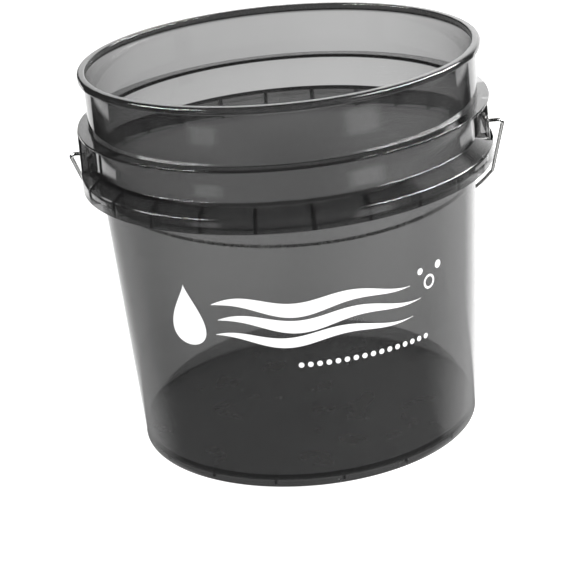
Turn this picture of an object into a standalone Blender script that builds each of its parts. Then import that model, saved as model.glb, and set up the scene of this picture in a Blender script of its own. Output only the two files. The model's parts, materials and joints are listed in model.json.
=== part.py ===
"""Wash bucket: one moulded pail in smoked plastic, and its steel wire bail.

Metres, +Z up. The origin is the centre of the foot ring, on the surface that the bucket stands on.
The bail's hinge axis runs along X. At rest the bail hangs at the back (+Y), leaning on the wall.
Run with: blender --background --python part.py
"""

import math

import bmesh
import bpy
from mathutils import Matrix, Vector

MM = 0.001

# Driving dimensions, in millimetres. Radii are of the outer face unless the name says otherwise.
HEIGHT = 299.0
RIM_RADIUS = 151.3
RIM_DEPTH = 5.5
WALL = 2.2

NECK_TOP_RADIUS = 147.4
NECK_FOOT_RADIUS = 147.0
NECK_FOOT_Z = 209.4

BODY_TOP_RADIUS = 143.3
BODY_TOP_Z = 206.0
BASE_RADIUS = 132.7

LEDGE_RADIUS = 155.9
LEDGE_TOP_Z = 255.9
LEDGE_THICKNESS = 2.2

RING_RADIUS = 157.6
RING_SHOULDER_Z = 229.3
RING_EDGE_Z = 221.0
RING_FOOT_Z = 209.4
RING_WALL = 2.1
RING_BAYS = 24
RIB_THICKNESS = 2.0

FOOT_HEIGHT = 5.5
FOOT_THICKNESS = 3.0
FLOOR_THICKNESS = 2.6
FLOOR_FILLET = 3.5
GUSSETS = 16
GUSSET_THICKNESS = 2.0
GUSSET_REACH = 7.0

EAR_WALL = 2.0
EAR_TOP_RADIUS = 156.3
EAR_FOOT_RADIUS = 157.0
HINGE_Z = 230.8

WIRE_RADIUS = 1.5
WIRE_HOLE_RADIUS = 2.1
HOOK_HALF_SPAN = 150.8
HOOK_LENGTH = 8.0
HOOK_BEND = 3.0
SHOULDER_BEND = 4.5
LEG_HALF_SPAN = 165.9
KINK_HALF_SPAN = 160.4
KINK_DEPTH = 84.0
BAIL_DEPTH = 197.3

CLEARANCE = 0.3
TURNED_STEPS = 72
BAY = 2.0 * math.pi / RING_BAYS


def arc(centre, radius, start, end, count):
    """Points on an arc in a plane, both ends included; angles in degrees."""
    angles = [math.radians(start + (end - start) * i / count) for i in range(count + 1)]
    return [(centre[0] + radius * math.cos(a), centre[1] + radius * math.sin(a)) for a in angles]


def body_radius(z):
    """Outer radius of the tapered wall below the ring."""
    return BASE_RADIUS + (BODY_TOP_RADIUS - BASE_RADIUS) * z / BODY_TOP_Z


def make_material(name, colour, roughness, metallic=0.0, transmission=0.0):
    """One Principled material."""
    material = bpy.data.materials.new(name)
    material.use_nodes = True
    shader = material.node_tree.nodes["Principled BSDF"]
    shader.inputs["Base Color"].default_value = (*colour, 1.0)
    shader.inputs["Roughness"].default_value = roughness
    shader.inputs["Metallic"].default_value = metallic
    shader.inputs["Transmission Weight"].default_value = transmission
    return material


def add_object(name, mesh_builder, smooth_angle=None):
    """A mesh object from a bmesh in millimetres, with its faces turned outwards."""
    bmesh.ops.recalc_face_normals(mesh_builder, faces=mesh_builder.faces)
    bmesh.ops.transform(mesh_builder, matrix=Matrix.Scale(MM, 4), verts=mesh_builder.verts)
    mesh = bpy.data.meshes.new(name)
    mesh_builder.to_mesh(mesh)
    mesh_builder.free()
    if smooth_angle is not None:
        mesh.shade_smooth()
        mesh.set_sharp_from_angle(angle=math.radians(smooth_angle))
    obj = bpy.data.objects.new(name, mesh)
    bpy.context.scene.collection.objects.link(obj)
    return obj


def add_wedge(builder, section, middle, half_angle):
    """A closed solid: a section of (radius, z) points swept round Z about the angle `middle`.

    The sweep has a step at each face edge of the turned wall, so both follow the same flats.
    """
    step = 2.0 * math.pi / TURNED_STEPS
    first = math.ceil((middle - half_angle) / step + 1e-6)
    last = math.floor((middle + half_angle) / step - 1e-6)
    angles = [middle - half_angle, *(i * step for i in range(first, last + 1)), middle + half_angle]
    rings = []
    for angle in angles:
        along = Vector((math.cos(angle), math.sin(angle), 0.0))
        rings.append([builder.verts.new(along * r + Vector((0.0, 0.0, z))) for r, z in section])
    for ring, following in zip(rings, rings[1:]):
        for i, vertex in enumerate(ring):
            j = (i + 1) % len(ring)
            builder.faces.new((vertex, ring[j], following[j], following[i]))
    builder.faces.new(rings[0])
    builder.faces.new(rings[-1])


def rim_outline():
    """The rim bead: inner edge, flat top, outer edge and underside."""
    inner = NECK_TOP_RADIUS - WALL
    points = arc((inner + 1.2, HEIGHT - 1.2), 1.2, 180, 90, 2)
    points += arc((RIM_RADIUS - 2.0, HEIGHT - 2.0), 2.0, 90, 0, 3)
    points += arc((RIM_RADIUS - 1.2, HEIGHT - RIM_DEPTH + 1.2), 1.2, 0, -90, 2)
    points.append((NECK_TOP_RADIUS, HEIGHT - RIM_DEPTH))
    return points


def ledge_outline():
    """The thin flange above the ears."""
    edge = LEDGE_RADIUS - 0.6
    low = LEDGE_TOP_Z - LEDGE_THICKNESS
    return [
        (NECK_FOOT_RADIUS + 0.3, LEDGE_TOP_Z),
        (edge, LEDGE_TOP_Z),
        (LEDGE_RADIUS, LEDGE_TOP_Z - 0.6),
        (LEDGE_RADIUS, low),
        (NECK_FOOT_RADIUS + 0.2, low),
    ]


def ring_outline():
    """The lower ring as a solid, with its cone shoulder; its bays are cut out of it afterwards."""
    return [
        (NECK_FOOT_RADIUS, RING_SHOULDER_Z),
        (RING_RADIUS - 1.3, RING_EDGE_Z + 0.7),
        (RING_RADIUS - 0.3, RING_EDGE_Z - 0.1),
        (RING_RADIUS, RING_EDGE_Z - 1.2),
        (RING_RADIUS, RING_FOOT_Z),
        (NECK_FOOT_RADIUS, RING_FOOT_Z),
    ]


def foot_outline():
    """The foot ring and the underside of the floor, ending on the axis."""
    foot_inner = BASE_RADIUS - FOOT_THICKNESS
    points = [(BODY_TOP_RADIUS, BODY_TOP_Z)]
    points += arc((BASE_RADIUS - 1.2, 1.2), 1.2, 0, -90, 3)
    points += arc((foot_inner + 0.6, 0.6), 0.6, -90, -180, 1)
    points += arc((foot_inner - 1.5, FOOT_HEIGHT - 1.5), 1.5, 0, 90, 2)
    points.append((0.0, FOOT_HEIGHT))
    return points


def inside_outline():
    """The inner face, from the axis over the floor and up to the rim."""
    floor = FOOT_HEIGHT + FLOOR_THICKNESS
    wall_foot = body_radius(floor + FLOOR_FILLET) - WALL
    points = [(0.0, floor)]
    points += arc((wall_foot - FLOOR_FILLET, floor + FLOOR_FILLET), FLOOR_FILLET, -90, 0, 4)
    points.append((BODY_TOP_RADIUS - WALL, BODY_TOP_Z + 1.0))
    points.append((NECK_FOOT_RADIUS - WALL, NECK_FOOT_Z + 1.0))
    return points


def turned_pail():
    """The whole section turned round Z, still without bays, ears and gussets."""
    outline = rim_outline() + ledge_outline() + ring_outline() + foot_outline() + inside_outline()
    builder = bmesh.new()
    vertices = [builder.verts.new((radius, 0.0, z)) for radius, z in outline]
    edges = [builder.edges.new(pair) for pair in zip(vertices, vertices[1:] + vertices[:1])]
    bmesh.ops.spin(
        builder,
        geom=vertices + edges,
        axis=(0.0, 0.0, 1.0),
        cent=(0.0, 0.0, 0.0),
        steps=TURNED_STEPS,
        angle=2.0 * math.pi,
    )
    bmesh.ops.remove_doubles(builder, verts=builder.verts, dist=0.01)
    on_axis = [e for e in builder.edges if not e.link_faces]
    bmesh.ops.delete(builder, geom=on_axis, context="EDGES")
    return builder


def ear_blocks():
    """A solid block at each end of the hinge axis, from inside the ledge into the ring."""
    section = [
        (NECK_FOOT_RADIUS - 1.0, LEDGE_TOP_Z - 1.1),
        (EAR_TOP_RADIUS, LEDGE_TOP_Z - 1.1),
        (EAR_FOOT_RADIUS, RING_EDGE_Z - 3.0),
        (NECK_FOOT_RADIUS - 1.0, RING_EDGE_Z - 3.0),
    ]
    half_angle = 0.5 * BAY + 0.5 * RIB_THICKNESS / EAR_TOP_RADIUS
    builder = bmesh.new()
    for middle in (0.0, math.pi):
        add_wedge(builder, section, middle, half_angle)
    return builder


def bay_section():
    """Section of one open bay under the ring's shoulder."""
    slope = (RING_SHOULDER_Z - RING_EDGE_Z) / (RING_RADIUS - NECK_FOOT_RADIUS)
    roof = RING_SHOULDER_Z - RING_WALL * math.sqrt(1.0 + slope * slope)
    inner = NECK_FOOT_RADIUS + CLEARANCE
    outer = RING_RADIUS - RING_WALL
    return [
        (inner, RING_FOOT_Z - 5.0),
        (outer, RING_FOOT_Z - 5.0),
        (outer, roof - slope * (outer - NECK_FOOT_RADIUS)),
        (inner, roof - slope * CLEARANCE),
    ]


def ear_bay_section():
    """Section of the tall bay inside an ear, open at the bottom."""
    inner = NECK_FOOT_RADIUS + CLEARANCE
    outer = RING_RADIUS - RING_WALL
    top = LEDGE_TOP_Z - LEDGE_THICKNESS - EAR_WALL
    return [
        (inner, RING_FOOT_Z - 5.0),
        (outer, RING_FOOT_Z - 5.0),
        (outer, RING_EDGE_Z - 6.0),
        (EAR_TOP_RADIUS - EAR_WALL, top),
        (inner, top),
    ]


def ring_bays():
    """All the bays between the ribs; the two on the hinge axis reach up into the ears."""
    half_angle = 0.5 * BAY - 0.5 * RIB_THICKNESS / RING_RADIUS
    builder = bmesh.new()
    for bay in range(RING_BAYS):
        is_ear = bay % (RING_BAYS // 2) == 0
        add_wedge(builder, ear_bay_section() if is_ear else bay_section(), bay * BAY, half_angle)
    return builder


def hinge_holes():
    """A short cylinder through the outer plate of each ear."""
    start = HOOK_HALF_SPAN + 0.3
    end = RING_RADIUS + 3.0
    builder = bmesh.new()
    for side in (-1.0, 1.0):
        place = Matrix.Translation((side * 0.5 * (start + end), 0.0, HINGE_Z))
        bmesh.ops.create_cone(
            builder,
            cap_ends=True,
            segments=16,
            radius1=WIRE_HOLE_RADIUS,
            radius2=WIRE_HOLE_RADIUS,
            depth=end - start,
            matrix=place @ Matrix.Rotation(0.5 * math.pi, 4, "Y"),
        )
    return builder


def foot_gussets():
    """Small webs between the foot ring and the underside of the floor."""
    outer = BASE_RADIUS - 0.5 * FOOT_THICKNESS
    inner = BASE_RADIUS - FOOT_THICKNESS - GUSSET_REACH
    high = FOOT_HEIGHT + 1.0
    section = [(outer, high), (inner, high), (inner, FOOT_HEIGHT - 1.0), (outer, 1.4)]
    half_angle = 0.5 * GUSSET_THICKNESS / outer
    builder = bmesh.new()
    for i in range(GUSSETS):
        add_wedge(builder, section, (i + 0.5) * 2.0 * math.pi / GUSSETS, half_angle)
    return builder


def combine(target, name, builder, operation):
    """Add a Boolean of `builder` to `target`; its object stays out of the model."""
    cutter = add_object(name, builder)
    cutter.hide_render = True
    cutter.display_type = "WIRE"
    modifier = target.modifiers.new(name, "BOOLEAN")
    modifier.object = cutter
    modifier.operation = operation
    modifier.solver = "EXACT"


def make_bucket():
    """The moulded pail."""
    bucket = add_object("bucket", turned_pail(), smooth_angle=35)
    combine(bucket, "ear_blocks", ear_blocks(), "UNION")
    combine(bucket, "ring_bays", ring_bays(), "DIFFERENCE")
    combine(bucket, "hinge_holes", hinge_holes(), "DIFFERENCE")
    combine(bucket, "foot_gussets", foot_gussets(), "UNION")
    smoked = make_material("smoked_plastic", (0.16, 0.16, 0.17), 0.08, transmission=0.8)
    bucket.data.materials.append(smoked)
    return bucket


def half_bail():
    """Half of the wire's centre line, from the hook's tip to the middle of the loop.

    Points are (distance from the mid plane, distance from the hinge axis). Below its kink the wire
    is one round arc, through the kink and the loop's lowest point.
    """
    drop = BAIL_DEPTH - KINK_DEPTH
    loop_radius = (drop ** 2 + KINK_HALF_SPAN ** 2) / (2.0 * drop)
    kink = math.degrees(math.asin((loop_radius - drop) / loop_radius))
    points = [(HOOK_HALF_SPAN, -HOOK_LENGTH)]
    points += arc((HOOK_HALF_SPAN + HOOK_BEND, -HOOK_BEND), HOOK_BEND, 180, 90, 3)
    points += arc((LEG_HALF_SPAN - SHOULDER_BEND, SHOULDER_BEND), SHOULDER_BEND, -90, 0, 4)
    points += arc((0.0, BAIL_DEPTH - loop_radius), loop_radius, kink, 90, 18)
    return points


def bail_rest_angle():
    """How far back the bail hangs from straight down, with its middle just clear of the wall."""
    taper = (BODY_TOP_RADIUS - BASE_RADIUS) / BODY_TOP_Z
    reach = body_radius(HINGE_Z) + WIRE_RADIUS + 2.0 * CLEARANCE
    return math.asin(reach / (BAIL_DEPTH * math.hypot(1.0, taper))) - math.atan(taper)


def make_bail():
    """The wire handle. Its origin is on the hinge axis."""
    right = half_bail()
    left = [(-across, down) for across, down in right[-2::-1]]
    path = bpy.data.curves.new("bail", "CURVE")
    path.dimensions = "3D"
    path.bevel_depth = WIRE_RADIUS * MM
    path.bevel_resolution = 2
    path.use_fill_caps = True
    spline = path.splines.new("POLY")
    spline.points.add(len(right + left) - 1)
    for point, (across, down) in zip(spline.points, right + left):
        point.co = (across * MM, 0.0, -down * MM, 1.0)
    bail = bpy.data.objects.new("bail", path)
    bpy.context.scene.collection.objects.link(bail)
    bail.location = (0.0, 0.0, HINGE_Z * MM)
    bail.rotation_euler = (bail_rest_angle(), 0.0, 0.0)
    path.materials.append(make_material("zinc_plated_steel", (0.55, 0.55, 0.53), 0.3, metallic=1.0))
    return bail


def main():
    """Clear the scene and build both pieces."""
    for obj in list(bpy.data.objects):
        bpy.data.objects.remove(obj, do_unlink=True)
    make_bucket()
    make_bail()


main()
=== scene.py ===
"""The looks of a wash bucket: a smoked see-through pail and its wire bail, in metres, +Z up.

The front of the bucket faces -Y. The bail's hinge axis runs along X and the bail hangs at the back.
"""

import json
import math

import bmesh
import bpy
from mathutils import Matrix, Vector


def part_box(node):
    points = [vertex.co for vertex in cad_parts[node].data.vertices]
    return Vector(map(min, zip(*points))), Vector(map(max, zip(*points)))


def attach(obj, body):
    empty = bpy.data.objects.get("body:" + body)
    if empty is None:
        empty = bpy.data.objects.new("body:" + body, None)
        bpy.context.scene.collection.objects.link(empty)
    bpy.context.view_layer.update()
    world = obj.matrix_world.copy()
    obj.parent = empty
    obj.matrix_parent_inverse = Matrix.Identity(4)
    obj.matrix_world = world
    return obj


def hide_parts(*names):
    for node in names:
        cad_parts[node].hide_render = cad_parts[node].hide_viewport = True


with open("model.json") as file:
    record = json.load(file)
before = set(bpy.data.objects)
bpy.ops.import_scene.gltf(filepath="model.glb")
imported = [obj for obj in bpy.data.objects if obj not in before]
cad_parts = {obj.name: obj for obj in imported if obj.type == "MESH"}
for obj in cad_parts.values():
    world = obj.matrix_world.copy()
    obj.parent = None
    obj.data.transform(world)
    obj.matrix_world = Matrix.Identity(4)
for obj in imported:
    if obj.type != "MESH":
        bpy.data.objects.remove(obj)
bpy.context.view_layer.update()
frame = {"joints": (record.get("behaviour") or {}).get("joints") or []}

# The pail's own sizes, as the CAD model has them. Radii are of the outer face.
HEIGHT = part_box("bucket")[1].z
RING_RADIUS = 0.1576
RIM_RADIUS = 0.1513
RIM_DEPTH = 0.0055
WALL = 0.0022
NECK_TOP_RADIUS = 0.1474
NECK_FOOT_RADIUS = 0.1470
BODY_TOP_RADIUS = 0.1433
BODY_TOP_Z = 0.206
BASE_RADIUS = 0.1327
LEDGE_RADIUS = 0.1559
LEDGE_TOP_Z = 0.2559
LEDGE_THICKNESS = 0.0022
RING_SHOULDER_Z = 0.2293
RING_EDGE_Z = 0.221
RING_FOOT_Z = 0.2094
RING_WALL = 0.0021
RING_BAYS = 24
RIB_THICKNESS = 0.0020
FOOT_HEIGHT = 0.0055
FOOT_THICKNESS = 0.0030
FLOOR_THICKNESS = 0.0026
GUSSETS = 16
EAR_WALL = 0.0020
EAR_TOP_RADIUS = 0.1563
EAR_FOOT_RADIUS = 0.1570
HINGE_Z = frame["joints"][0]["pos_m"][2]
WIRE_HOLE_RADIUS = 0.0021
WIRE_RADIUS = 0.0015
HOOK_HALF_SPAN = 0.1508
HOOK_LENGTH = 0.0080
HOOK_BEND = 0.0030
SHOULDER_BEND = 0.0045
LEG_HALF_SPAN = 0.1659
KINK_HALF_SPAN = 0.1604
KINK_DEPTH = 0.0840
KINK_BEND = 0.0120
BAIL_DEPTH = 0.1973
BAY = 2.0 * math.pi / RING_BAYS
TURNED_STEPS = 288
FRONT = -0.5 * math.pi
PRINT_Z = 0.137
PRINT_GAP = 0.00003
PRINT_THICKNESS = 0.00008
HOLE_MIDDLE = 0.1552
HOLE_DEPTH = 0.0104
GATE_RADIUS = 0.006
GATE_DEPTH = 0.0006

# The camera, in degrees, metres and millimetres of focal length.
CAMERA_AZIMUTH = 2.3
CAMERA_ELEVATION = 21.455
CAMERA_YAW = 0.391
CAMERA_ROLL = -5.426
CAMERA_DISTANCE = 1.4644
CAMERA_LENS = 116.44
TARGET_Z = 0.1076

# Where the plastic's tone changes: the two ends of the change, and the tone at each where both are fixed.
FOOT_TO_BODY = (0.0040, 0.0070)
BODY_TO_NECK = (0.2030, 0.2090)
NECK_TO_RIM = (0.2915, 0.2935)
WALL_TO_OUTER_RINGS = (0.1485, 0.1495)
BODY_UPWARDS = (0.08, 0.19, 0.84, 0.92)
RINGS_UPWARDS = (0.2350, 0.2500, 0.64, 0.97)
# Painted shade: the front of the neck is darker than its back.
NECK_PAINTED_SHADE = (-0.10, 0.10, 0.52, 0.84)
# Painted shade: the back of the rim is darker than its front.
RIM_PAINTED_SHADE = (0.0, 0.10, 0.97, 0.40)
FOOT_TONE = 0.60

# The painted shadow on the table, dark under and behind the bucket: how much it is stretched backwards,
# how far it is moved, and its glow. Then the strength of the light from all sides and of what is left
# unlit.
SHADE_SQUEEZE = 0.822
SHADE_SHIFT = -0.0236
SHADE_GLOW = 0.24
ROOM_LIGHT = 1.15
DARK_ROOM = 0.03

# What glossy faces mirror, in degrees: azimuth from +Y towards +X, half width and soft edge, then
# lowest and highest elevation and their soft edge, and the strength.
SOFT_LIGHTS = (
    (0.0, 35.0, 1.5, -18.3, 0.0, 0.5, 1.35),
    (0.0, 24.0, 20.0, -26.0, -18.3, 0.5, 1.2),
    (12.0, 24.0, 14.0, 0.0, 50.0, 1.0, 2.0),
    (95.0, 40.0, 25.0, -20.0, 4.0, 1.0, 0.3),
    (26.0, 10.0, 6.0, -26.0, 0.0, 0.5, 0.35),
    (48.0, 28.0, 22.0, -33.0, -18.5, 0.5, 0.9),
    (-44.0, 22.0, 18.0, -33.0, -18.5, 0.5, 0.5),
    (-51.0, 10.0, 1.0, -17.8, -16.6, 0.3, 1.6),
    (44.0, 11.0, 1.0, -17.8, -16.6, 0.3, 1.6),
    (-134.0, 8.0, 4.0, -19.5, -16.2, 0.8, 1.0),
    (132.0, 10.0, 5.0, -20.5, -16.0, 0.8, 1.4),
    (57.0, 16.0, 6.0, 28.0, 56.0, 3.0, 1.3),
    (0.0, 30.0, 12.0, -80.0, -40.0, 3.0, 1.3),
    (-114.0, 21.0, 7.0, 8.0, 20.0, 1.0, 45.0),
    (97.0, 36.0, 9.0, 8.0, 22.0, 1.0, 53.0),
)


# ---------------------------------------------------------------- meshes

def add_object(name, builder, smooth_angle=None):
    """A mesh object from a bmesh, faces turned outwards."""
    bmesh.ops.recalc_face_normals(builder, faces=builder.faces)
    mesh = bpy.data.meshes.new(name)
    builder.to_mesh(mesh)
    builder.free()
    if smooth_angle is not None:
        mesh.shade_smooth()
        mesh.set_sharp_from_angle(angle=math.radians(smooth_angle))
    obj = bpy.data.objects.new(name, mesh)
    bpy.context.scene.collection.objects.link(obj)
    return obj


def apply_modifiers(obj, smooth_angle):
    """Replace an object's mesh by what its modifiers make of it."""
    evaluated = obj.evaluated_get(bpy.context.evaluated_depsgraph_get())
    mesh = bpy.data.meshes.new_from_object(evaluated)
    obj.modifiers.clear()
    obj.data = mesh
    mesh.shade_smooth()
    mesh.set_sharp_from_angle(angle=math.radians(smooth_angle))


def fillet(before, corner, after, radius, segment=math.radians(12)):
    """Points of an arc that rounds one corner of an outline."""
    corner = Vector(corner)
    back = (Vector(before) - corner).normalized()
    ahead = (Vector(after) - corner).normalized()
    between = back.angle(ahead)
    reach = radius / math.tan(0.5 * between)
    centre = corner + (back + ahead).normalized() * radius / math.sin(0.5 * between)
    start = corner + back * reach - centre
    end = corner + ahead * reach - centre
    count = max(2, math.ceil((math.pi - between) / segment))
    turn = start.angle_signed(end)
    return [tuple(centre + Matrix.Rotation(-turn * i / count, 2) @ start) for i in range(count + 1)]


def rounded_outline(corners):
    """A closed outline from (radius, z, fillet radius) corners."""
    points = []
    for i, (r, z, rounding) in enumerate(corners):
        if rounding == 0.0:
            points.append((r, z))
            continue
        before = corners[i - 1][:2]
        after = corners[(i + 1) % len(corners)][:2]
        points += fillet(before, (r, z), after, rounding)
    return points


def turned(outline, steps):
    """A closed outline of (radius, z) points turned round Z."""
    builder = bmesh.new()
    vertices = [builder.verts.new((radius, 0.0, z)) for radius, z in outline]
    edges = [builder.edges.new(pair) for pair in zip(vertices, vertices[1:] + vertices[:1])]
    bmesh.ops.spin(
        builder,
        geom=vertices + edges,
        axis=(0.0, 0.0, 1.0),
        cent=(0.0, 0.0, 0.0),
        steps=steps,
        angle=2.0 * math.pi,
    )
    bmesh.ops.remove_doubles(builder, verts=builder.verts, dist=1e-6)
    on_axis = [e for e in builder.edges if not e.link_faces]
    bmesh.ops.delete(builder, geom=on_axis, context="EDGES")
    return builder


def add_wedge(builder, section, middle, half_angle):
    """A closed solid: a section of (radius, z) points swept round Z about the angle `middle`."""
    step = 2.0 * math.pi / TURNED_STEPS
    first = math.ceil((middle - half_angle) / step + 1e-6)
    last = math.floor((middle + half_angle) / step - 1e-6)
    angles = [middle - half_angle, *(i * step for i in range(first, last + 1)), middle + half_angle]
    rings = []
    for angle in angles:
        along = Vector((math.cos(angle), math.sin(angle), 0.0))
        rings.append([builder.verts.new(along * r + Vector((0.0, 0.0, z))) for r, z in section])
    for ring, following in zip(rings, rings[1:]):
        for i, vertex in enumerate(ring):
            j = (i + 1) % len(ring)
            builder.faces.new((vertex, ring[j], following[j], following[i]))
    builder.faces.new(rings[0])
    builder.faces.new(rings[-1])


# ---------------------------------------------------------------- the pail

def body_radius(z):
    """Outer radius of the tapered wall below the ring."""
    return BASE_RADIUS + (BODY_TOP_RADIUS - BASE_RADIUS) * z / BODY_TOP_Z


def pail_outline():
    """The pail's section, from the rim's inner edge down the outside and up the inside."""
    floor = FOOT_HEIGHT + FLOOR_THICKNESS
    rim_foot = HEIGHT - RIM_DEPTH
    ledge_low = LEDGE_TOP_Z - LEDGE_THICKNESS
    foot_inner = BASE_RADIUS - FOOT_THICKNESS
    return rounded_outline([
        (NECK_TOP_RADIUS - WALL, HEIGHT, 0.0012),
        (RIM_RADIUS, HEIGHT, 0.0020),
        (RIM_RADIUS, rim_foot, 0.0012),
        (NECK_TOP_RADIUS, rim_foot, 0.0008),
        (NECK_FOOT_RADIUS + 0.0003, LEDGE_TOP_Z, 0.0005),
        (LEDGE_RADIUS, LEDGE_TOP_Z, 0.0006),
        (LEDGE_RADIUS, ledge_low, 0.0006),
        (NECK_FOOT_RADIUS + 0.0002, ledge_low, 0.0010),
        (NECK_FOOT_RADIUS, RING_SHOULDER_Z, 0.0008),
        (RING_RADIUS, RING_EDGE_Z, 0.0017),
        (RING_RADIUS, RING_FOOT_Z, 0.0005),
        (NECK_FOOT_RADIUS, RING_FOOT_Z, 0.0004),
        (BODY_TOP_RADIUS, BODY_TOP_Z, 0.0055),
        (BASE_RADIUS, 0.0, 0.0014),
        (foot_inner, 0.0, 0.0006),
        (foot_inner, FOOT_HEIGHT, 0.0015),
        (GATE_RADIUS, FOOT_HEIGHT, 0.0004),
        (GATE_RADIUS - 0.0005, FOOT_HEIGHT - GATE_DEPTH, 0.0003),
        (0.0, FOOT_HEIGHT - GATE_DEPTH, 0.0),
        (0.0, floor, 0.0),
        (body_radius(floor) - WALL, floor, 0.0035),
        (BODY_TOP_RADIUS - WALL, BODY_TOP_Z + 0.0010, 0.0045),
        (NECK_FOOT_RADIUS - WALL, RING_FOOT_Z + 0.0010, 0.0045),
    ])


def ear_blocks():
    """A solid block at each end of the hinge axis, from inside the ledge into the ring."""
    inner = NECK_FOOT_RADIUS - 0.0010
    high = LEDGE_TOP_Z - 0.0011
    low = RING_EDGE_Z - 0.0030
    section = [(inner, high), (EAR_TOP_RADIUS, high), (EAR_FOOT_RADIUS, low), (inner, low)]
    half_angle = 0.5 * BAY + 0.5 * RIB_THICKNESS / EAR_TOP_RADIUS
    builder = bmesh.new()
    for middle in (0.0, math.pi):
        add_wedge(builder, section, middle, half_angle)
    return builder


def bay_section(is_ear):
    """Section of the open space between two ribs; an ear's space is taller."""
    inner = NECK_FOOT_RADIUS + 0.0003
    outer = RING_RADIUS - RING_WALL
    below = RING_FOOT_Z - 0.0050
    if is_ear:
        top = LEDGE_TOP_Z - LEDGE_THICKNESS - EAR_WALL
        edge = (outer, RING_EDGE_Z - 0.0060)
        return [(inner, below), (outer, below), edge, (EAR_TOP_RADIUS - EAR_WALL, top), (inner, top)]
    slope = (RING_SHOULDER_Z - RING_EDGE_Z) / (RING_RADIUS - NECK_FOOT_RADIUS)
    roof = RING_SHOULDER_Z - RING_WALL * math.hypot(1.0, slope)
    outer_top = (outer, roof - slope * (outer - NECK_FOOT_RADIUS))
    return [(inner, below), (outer, below), outer_top, (inner, roof - slope * 0.0003)]


def ring_bays():
    """All the spaces between the ribs."""
    half_angle = 0.5 * BAY - 0.5 * RIB_THICKNESS / RING_RADIUS
    builder = bmesh.new()
    for bay in range(RING_BAYS):
        is_ear = bay % (RING_BAYS // 2) == 0
        add_wedge(builder, bay_section(is_ear), bay * BAY, half_angle)
    return builder


def hinge_holes():
    """A short cylinder through the outer plate of each ear."""
    builder = bmesh.new()
    for side in (-1.0, 1.0):
        place = Matrix.Translation((side * HOLE_MIDDLE, 0.0, HINGE_Z))
        bmesh.ops.create_cone(
            builder,
            cap_ends=True,
            segments=40,
            radius1=WIRE_HOLE_RADIUS,
            radius2=WIRE_HOLE_RADIUS,
            depth=HOLE_DEPTH,
            matrix=place @ Matrix.Rotation(0.5 * math.pi, 4, "Y"),
        )
    return builder


def foot_gussets():
    """Small webs between the foot ring and the underside of the floor."""
    outer = BASE_RADIUS - 0.5 * FOOT_THICKNESS
    inner = BASE_RADIUS - FOOT_THICKNESS - 0.0070
    high = FOOT_HEIGHT + 0.0010
    section = [(outer, high), (inner, high), (inner, FOOT_HEIGHT - 0.0010), (outer, 0.0014)]
    builder = bmesh.new()
    for i in range(GUSSETS):
        add_wedge(builder, section, (i + 0.5) * 2.0 * math.pi / GUSSETS, 0.0010 / outer)
    return builder


def combine(target, name, builder, operation, bevel=0.0):
    """Apply a Boolean of `builder` to `target`, its own edges rounded first."""
    cutter = add_object(name, builder, 30)
    if bevel:
        rounding = cutter.modifiers.new("rounding", "BEVEL")
        rounding.width = bevel
        rounding.segments = 3
        rounding.limit_method = "ANGLE"
        rounding.angle_limit = math.radians(30)
    modifier = target.modifiers.new(name, "BOOLEAN")
    modifier.object = cutter
    modifier.operation = operation
    modifier.solver = "EXACT"
    return cutter


def make_pail(material):
    """The moulded pail, which stands for the CAD node."""
    pail = add_object("pail_moulding", turned(pail_outline(), TURNED_STEPS), 30)
    cutters = [
        combine(pail, "ear_blocks", ear_blocks(), "UNION", 0.0010),
        combine(pail, "ring_bays", ring_bays(), "DIFFERENCE", 0.0007),
        combine(pail, "hinge_holes", hinge_holes(), "DIFFERENCE"),
        combine(pail, "foot_gussets", foot_gussets(), "UNION", 0.0003),
    ]
    apply_modifiers(pail, 28)
    for cutter in cutters:
        bpy.data.objects.remove(cutter, do_unlink=True)
    pail.data.materials.clear()
    pail.data.materials.append(material)
    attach(pail, "pail")
    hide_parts("bucket")
    return pail


# ---------------------------------------------------------------- the bail

def half_wire():
    """Half of the wire's centre line, as (across, below the hinge) points from its tip to its middle."""
    drop = BAIL_DEPTH - KINK_DEPTH
    loop_radius = (drop ** 2 + KINK_HALF_SPAN ** 2) / (2.0 * drop)
    kink = math.asin((loop_radius - drop) / loop_radius)
    steps = 60
    loop = []
    for i in range(1, steps + 1):
        angle = kink + (0.5 * math.pi - kink) * i / steps
        down = BAIL_DEPTH - loop_radius + loop_radius * math.sin(angle)
        loop.append((loop_radius * math.cos(angle), down))
    tip = (HOOK_HALF_SPAN, -HOOK_LENGTH)
    hook = (HOOK_HALF_SPAN, 0.0)
    shoulder = (LEG_HALF_SPAN, 0.0)
    knee = (KINK_HALF_SPAN, KINK_DEPTH)
    points = [tip]
    points += fillet(tip, hook, shoulder, HOOK_BEND)
    points += fillet(hook, shoulder, knee, SHOULDER_BEND)
    points += fillet(shoulder, knee, loop[2], KINK_BEND, math.radians(3))
    return points + loop[3:]


def wire_path(lean):
    """The whole centre line in space, hanging `lean` back from straight down."""
    right = half_wire()
    flat = right + [(-across, down) for across, down in right[-2::-1]]
    path = []
    for across, down in flat:
        path.append(Vector((across, down * math.sin(lean), HINGE_Z - down * math.cos(lean))))
    return path


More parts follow.
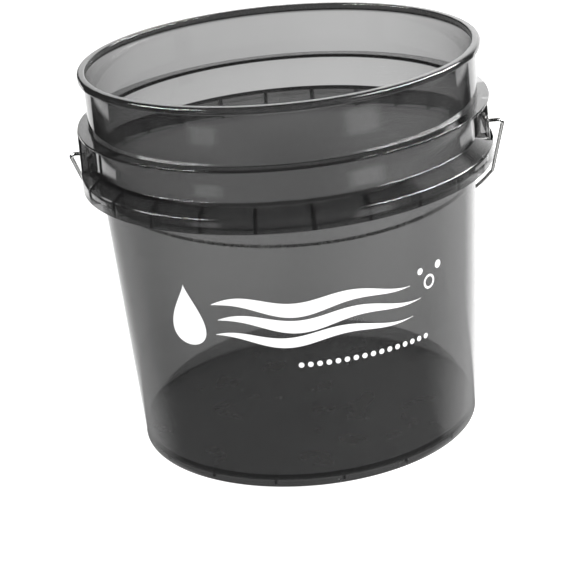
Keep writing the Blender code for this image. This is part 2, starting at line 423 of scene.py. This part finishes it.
def add_tube(builder, path, radius, normal, sides=24):
    """A closed tube along a path that stays in the plane with this normal; its ends are chamfered."""
    chamfer = 0.25 * radius
    first = (path[1] - path[0]).normalized()
    last = (path[-2] - path[-1]).normalized()
    path = [path[0], path[0] + first * chamfer, *path[1:-1], path[-1] + last * chamfer, path[-1]]
    rings = []
    for i, point in enumerate(path):
        ahead = path[min(i + 1, len(path) - 1)]
        behind = path[max(i - 1, 0)]
        beside = (ahead - behind).normalized().cross(normal)
        reach = radius - chamfer if i in (0, len(path) - 1) else radius
        ring = []
        for k in range(sides):
            t = 2.0 * math.pi * k / sides
            ring.append(builder.verts.new(point + reach * (math.cos(t) * beside + math.sin(t) * normal)))
        rings.append(ring)
    for ring, following in zip(rings, rings[1:]):
        for k in range(sides):
            j = (k + 1) % sides
            builder.faces.new((ring[k], ring[j], following[j], following[k]))
    builder.faces.new(rings[0])
    builder.faces.new(rings[-1])


def make_bail(material):
    """The bent wire, hanging where the CAD node hangs."""
    low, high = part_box("bail")
    lean = math.atan2(high.y - WIRE_RADIUS, HINGE_Z - low.z - WIRE_RADIUS)
    normal = Vector((0.0, math.cos(lean), math.sin(lean)))
    builder = bmesh.new()
    add_tube(builder, wire_path(lean), WIRE_RADIUS - 0.00001, normal)
    bail = add_object("bail_wire", builder, 40)
    bail.data.materials.append(material)
    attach(bail, "handle")
    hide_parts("bail")
    return bail


# ---------------------------------------------------------------- the print

def on_wall(across, z, lift):
    """A point of the print: a distance to the right of the middle of the front, and a height."""
    angle = FRONT + across / body_radius(PRINT_Z)
    radius = body_radius(z) + lift
    return Vector((radius * math.cos(angle), radius * math.sin(angle), z))


def add_print(builder, side_a, side_b, closed=False, rows=1):
    """A thin plate of ink between two lines of (across, z) points."""
    layers = []
    for lift in (PRINT_GAP, PRINT_GAP + PRINT_THICKNESS):
        layer = []
        for row in range(rows + 1):
            t = row / rows
            mixed = [(a[0] + (b[0] - a[0]) * t, a[1] + (b[1] - a[1]) * t) for a, b in zip(side_a, side_b)]
            layer.append([builder.verts.new(on_wall(across, z, lift)) for across, z in mixed])
        layers.append(layer)
    count = len(side_a)
    steps = [(i, (i + 1) % count) for i in range(count if closed else count - 1)]
    for layer in layers:
        for row, following in zip(layer, layer[1:]):
            for i, j in steps:
                builder.faces.new((row[i], row[j], following[j], following[i]))
    inner, outer = layers
    for row in (0, rows):
        for i, j in steps:
            builder.faces.new((inner[row][i], inner[row][j], outer[row][j], outer[row][i]))
    if not closed:
        for i in (0, count - 1):
            for row in range(rows):
                builder.faces.new((inner[row][i], inner[row + 1][i], outer[row + 1][i], outer[row][i]))


def ellipse(across, z, radius, count=48):
    """Points round a circle of the print."""
    turns = [2.0 * math.pi * i / count for i in range(count)]
    return [(across + radius * math.cos(t), z + radius * math.sin(t)) for t in turns]


def add_disc(builder, across, z, radius):
    """A full dot of ink."""
    edge = ellipse(across, z, radius, 32)
    add_print(builder, edge, [(across, z)] * len(edge), closed=True)


def add_drop(builder, across, z, radius, height):
    """A falling drop: round below, drawn to a point above."""
    edge = []
    for i in range(64):
        t = 2.0 * math.pi * i / 64
        width = radius * math.sin(t) * math.sin(0.5 * t) ** 1.6 * 1.28
        edge.append((across + width, z + 0.5 * height * math.cos(t)))
    middle = (across, z - 0.16 * height)
    add_print(builder, edge, [middle] * len(edge), closed=True, rows=8)


def add_wave(builder, start, end, z, thickness, swing, phase):
    """A wave that tapers towards both ends."""
    steps = 80
    upper = []
    lower = []
    for i in range(steps + 1):
        t = i / steps
        across = start + (end - start) * t
        middle = z + swing * math.sin(2.0 * math.pi * 1.75 * t + phase) * (1.0 - 0.35 * t)
        half = 0.5 * thickness * max(0.04, math.sin(math.pi * t ** 0.8))
        upper.append((across, middle + half))
        lower.append((across, middle - half))
    add_print(builder, upper, lower)


def make_print(material):
    """A drop, three waves, three bubbles and a dotted rule, printed on the front."""
    builder = bmesh.new()
    add_drop(builder, -0.0830, PRINT_Z + 0.0010, 0.0170, 0.0480)
    add_wave(builder, -0.0610, 0.0900, PRINT_Z + 0.0110, 0.0110, 0.0040, 0.2)
    add_wave(builder, -0.0570, 0.1000, PRINT_Z - 0.0020, 0.0100, 0.0040, 0.5)
    add_wave(builder, -0.0600, 0.0920, PRINT_Z - 0.0145, 0.0080, 0.0036, 0.8)
    ring = [ellipse(0.1090, PRINT_Z + 0.0060, radius) for radius in (0.0056, 0.0038)]
    add_print(builder, *ring, closed=True)
    add_disc(builder, 0.1000, PRINT_Z + 0.0165, 0.0026)
    add_disc(builder, 0.1190, PRINT_Z + 0.0165, 0.0032)
    for i in range(16):
        add_disc(builder, 0.0020 + 0.0068 * i, PRINT_Z - 0.0360, 0.0021)
    bmesh.ops.remove_doubles(builder, verts=builder.verts, dist=1e-6)
    ink = add_object("front_print", builder, 30)
    ink.data.materials.append(material)
    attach(ink, "pail")
    return ink


# ---------------------------------------------------------------- materials

def add_node(tree, kind, inputs=None, **settings):
    """A node with its settings, its inputs filled with values or joined to other nodes."""
    node = tree.nodes.new(kind)
    for name, value in settings.items():
        setattr(node, name, value)
    for key, value in (inputs or {}).items():
        if isinstance(value, bpy.types.NodeSocket):
            tree.links.new(value, node.inputs[key])
        else:
            node.inputs[key].default_value = value
    return node


def calculate(tree, operation, a, b=0.0):
    """The result of one sum on two values or sockets."""
    return add_node(tree, "ShaderNodeMath", {0: a, 1: b}, operation=operation).outputs[0]


def ramp(tree, value, start, end, low=0.0, high=1.0):
    """A smooth step of a value from low, at start, to high, at end."""
    inputs = {"Value": value, "From Min": start, "From Max": end, "To Min": low, "To Max": high}
    return add_node(tree, "ShaderNodeMapRange", inputs, interpolation_type="SMOOTHSTEP").outputs[0]


def noise(tree, place, scale, detail=3.0, stretch=(1.0, 1.0, 1.0)):
    """Noise between 0 and 1 on object coordinates, in waves per metre."""
    mapping = add_node(tree, "ShaderNodeMapping", {"Vector": place, "Scale": stretch})
    inputs = {"Vector": mapping.outputs[0], "Scale": scale, "Detail": detail}
    return add_node(tree, "ShaderNodeTexNoise", inputs).outputs["Fac"]


def new_material(name):
    """A node material, its tree, its shader and its object coordinates."""
    material = bpy.data.materials.new(name)
    material.use_nodes = True
    tree = material.node_tree
    place = add_node(tree, "ShaderNodeTexCoord").outputs["Object"]
    return material, tree, tree.nodes["Principled BSDF"], place


def from_axis(tree, place):
    """Distance from the Z axis."""
    flat = add_node(tree, "ShaderNodeVectorMath", {0: place, 1: (1.0, 1.0, 0.0)}, operation="MULTIPLY")
    length = add_node(tree, "ShaderNodeVectorMath", {0: flat.outputs[0]}, operation="LENGTH")
    return length.outputs["Value"]


def smoked_plastic():
    """Smoked see-through plastic, darker in the neck and at the foot; the front of the neck and the back
    of the rim carry painted shade.
    """
    material, tree, shader, place = new_material("smoked_plastic")
    depth, height = add_node(tree, "ShaderNodeSeparateXYZ", {0: place}).outputs[1:]
    rings = ramp(tree, height, *RINGS_UPWARDS)
    # Painted shade: the neck is darker in front, the rim darker at the back.
    wall = ramp(tree, depth, *NECK_PAINTED_SHADE)
    neck = ramp(tree, from_axis(tree, place), *WALL_TO_OUTER_RINGS, wall, rings)
    rim_painted_shade = ramp(tree, depth, *RIM_PAINTED_SHADE)
    top = ramp(tree, height, *NECK_TO_RIM, neck, rim_painted_shade)
    body = ramp(tree, height, *BODY_UPWARDS)
    low = ramp(tree, height, *FOOT_TO_BODY, FOOT_TONE, body)
    tone = ramp(tree, height, *BODY_TO_NECK, low, top)
    cloud = ramp(tree, noise(tree, place, 14.0), 0.3, 0.7, 0.97, 1.0)
    grey = calculate(tree, "MULTIPLY", tone, cloud)
    colour = add_node(tree, "ShaderNodeCombineColor", {0: grey, 1: grey, 2: grey})
    tree.links.new(colour.outputs[0], shader.inputs["Base Color"])
    haze = ramp(tree, noise(tree, place, 35.0, 5.0), 0.45, 0.75, 0.02, 0.07)
    floor = ramp(tree, height, 0.0095, 0.0080, 0.0, 0.22)
    tree.links.new(calculate(tree, "ADD", haze, floor), shader.inputs["Roughness"])
    flow = noise(tree, place, 22.0, 2.0, (1.0, 1.0, 0.35))
    bump = add_node(tree, "ShaderNodeBump", {"Strength": 0.05, "Distance": 0.0004, "Height": flow})
    tree.links.new(bump.outputs[0], shader.inputs["Normal"])
    shader.inputs["Transmission Weight"].default_value = 0.985
    shader.inputs["IOR"].default_value = 1.49
    inputs = {"Color": (0.0, 0.0, 0.0, 1.0), "Density": 400.0}
    inside = add_node(tree, "ShaderNodeVolumeAbsorption", inputs)
    tree.links.new(inside.outputs["Volume"], tree.nodes["Material Output"].inputs["Volume"])
    return material


def zinc_wire():
    """Zinc plated steel wire, with fine drawing marks and duller patches."""
    material, tree, shader, place = new_material("zinc_wire")
    marks = noise(tree, place, 900.0, 2.0, (0.08, 1.0, 1.0))
    patches = noise(tree, place, 160.0, 4.0)
    grey = ramp(tree, patches, 0.3, 0.7, 0.55, 0.72)
    warm = calculate(tree, "MULTIPLY", grey, 0.98)
    colour = add_node(tree, "ShaderNodeCombineColor", {0: grey, 1: grey, 2: warm})
    tree.links.new(colour.outputs[0], shader.inputs["Base Color"])
    tree.links.new(ramp(tree, patches, 0.35, 0.7, 0.20, 0.38), shader.inputs["Roughness"])
    bump = add_node(tree, "ShaderNodeBump", {"Strength": 0.25, "Distance": 0.00005, "Height": marks})
    tree.links.new(bump.outputs[0], shader.inputs["Normal"])
    shader.inputs["Metallic"].default_value = 1.0
    return material


def white_ink():
    """Screen printed white ink, slightly uneven."""
    material, tree, shader, place = new_material("white_ink")
    grey = ramp(tree, noise(tree, place, 700.0, 4.0), 0.3, 0.7, 0.86, 0.93)
    colour = add_node(tree, "ShaderNodeCombineColor", {0: grey, 1: grey, 2: grey})
    tree.links.new(colour.outputs[0], shader.inputs["Base Color"])
    mesh_marks = noise(tree, place, 2200.0, 1.0)
    bump = add_node(tree, "ShaderNodeBump", {"Strength": 0.2, "Distance": 0.00003, "Height": mesh_marks})
    tree.links.new(bump.outputs[0], shader.inputs["Normal"])
    shader.inputs["Roughness"].default_value = 0.45
    return material


# ---------------------------------------------------------------- the room

def make_floor():
    """A wide white table that glows, more to the right.

    Seen through the bucket, a painted shadow darkens the patch under it and just behind it; seen directly
    it is white.
    """
    builder = bmesh.new()
    bmesh.ops.create_grid(builder, x_segments=1, y_segments=1, size=8.0)
    floor = add_object("studio_floor", builder)
    floor.location.z = -0.0002
    material, tree, shader, place = new_material("floor_white")
    shader.inputs["Base Color"].default_value = (0.25, 0.25, 0.25, 1.0)
    shader.inputs["Roughness"].default_value = 0.9
    shader.inputs["Specular IOR Level"].default_value = 0.0
    shader.inputs["Emission Color"].default_value = (1.0, 1.0, 1.0, 1.0)
    # Painted shadow: the table's glow is turned down under and just behind the bucket, except where it is
    # seen directly.
    inputs = {"Vector": place, "Location": (0.0, SHADE_SHIFT, 0.0), "Scale": (1.0, SHADE_SQUEEZE, 1.0)}
    shaded = add_node(tree, "ShaderNodeMapping", inputs).outputs[0]
    edge = (BASE_RADIUS - 0.0010, BASE_RADIUS + 0.0004)
    outside = ramp(tree, from_axis(tree, shaded), *edge, SHADE_GLOW, 1.0)
    seen_directly = add_node(tree, "ShaderNodeLightPath").outputs["Is Camera Ray"]
    outside = calculate(tree, "MAXIMUM", outside, seen_directly)
    right, behind = add_node(tree, "ShaderNodeSeparateXYZ", {0: place}).outputs[:2]
    far = ramp(tree, right, -0.15, 0.15, 1.10, 1.32)
    left_part = ramp(tree, right, -0.12, -0.02, 1.15, 0.97)
    near = calculate(tree, "ADD", left_part, ramp(tree, right, -0.01, 0.13, 0.0, 0.78))
    inputs = {"Factor": ramp(tree, behind, 0.55, 0.90), "A": near, "B": far}
    glow = add_node(tree, "ShaderNodeMix", inputs, data_type="FLOAT").outputs["Result"]
    tree.links.new(calculate(tree, "MULTIPLY", outside, glow), shader.inputs["Emission Strength"])
    floor.data.materials.append(material)
    floor.visible_glossy = False


def make_world():
    """Even white light from all sides, but glossy faces mirror a dark room with the soft lights in it."""
    world = bpy.data.worlds.new("studio")
    bpy.context.scene.world = world
    world.use_nodes = True
    tree = world.node_tree
    background = tree.nodes["Background"]
    way = add_node(tree, "ShaderNodeTexCoord").outputs["Generated"]
    x, y, z = add_node(tree, "ShaderNodeSeparateXYZ", {0: way}).outputs
    side = calculate(tree, "ARCTAN2", x, y)
    elevation = calculate(tree, "ARCSINE", z)
    mirrored = DARK_ROOM
    for middle, half, edge, low, high, rise, strength in SOFT_LIGHTS:
        turned_by = calculate(tree, "SUBTRACT", side, math.radians(middle))
        wrap = {0: turned_by, 1: math.pi, 2: -math.pi}
        away = add_node(tree, "ShaderNodeMath", wrap, operation="WRAP").outputs[0]
        away = calculate(tree, "ABSOLUTE", away)
        width = ramp(tree, away, math.radians(half + edge), math.radians(half - edge))
        under = ramp(tree, elevation, math.radians(low - rise), math.radians(low + rise))
        over = ramp(tree, elevation, math.radians(high + rise), math.radians(high - rise))
        light = calculate(tree, "MULTIPLY", width, calculate(tree, "MULTIPLY", under, over))
        mirrored = calculate(tree, "ADD", mirrored, calculate(tree, "MULTIPLY", light, strength))
    rays = add_node(tree, "ShaderNodeLightPath").outputs
    glossy = calculate(tree, "MULTIPLY", rays["Is Glossy Ray"], rays["Is Reflection Ray"])
    inputs = {"Factor": glossy, "A": ROOM_LIGHT, "B": mirrored}
    strength = add_node(tree, "ShaderNodeMix", inputs, data_type="FLOAT").outputs["Result"]
    background.inputs["Color"].default_value = (1.0, 1.0, 1.0, 1.0)
    tree.links.new(strength, background.inputs["Strength"])


def make_camera():
    """A long lens from the front, looking down at the bucket, turned a little about its own axis."""
    azimuth = math.radians(CAMERA_AZIMUTH)
    elevation = math.radians(CAMERA_ELEVATION)
    target = Vector((0.0, 0.0, TARGET_Z))
    away = math.cos(elevation)
    back = Vector((away * math.sin(azimuth), -away * math.cos(azimuth), math.sin(elevation)))
    camera = bpy.data.objects.new("camera", bpy.data.cameras.new("camera"))
    bpy.context.scene.collection.objects.link(camera)
    camera.data.lens = CAMERA_LENS
    camera.data.sensor_width = 36.0
    camera.location = target + back * CAMERA_DISTANCE
    yaw = Matrix.Rotation(math.radians(CAMERA_YAW), 4, "Z")
    roll = Matrix.Rotation(math.radians(CAMERA_ROLL), 4, "Z")
    camera.rotation_mode = "QUATERNION"
    turn = yaw @ back.to_track_quat("Z", "Y").to_matrix().to_4x4() @ roll
    camera.rotation_quaternion = turn.to_quaternion()
    bpy.context.scene.camera = camera


make_camera()
make_world()
make_floor()
make_pail(smoked_plastic())
make_bail(zinc_wire())
make_print(white_ink())
bpy.context.scene.view_settings.view_transform = "Standard"
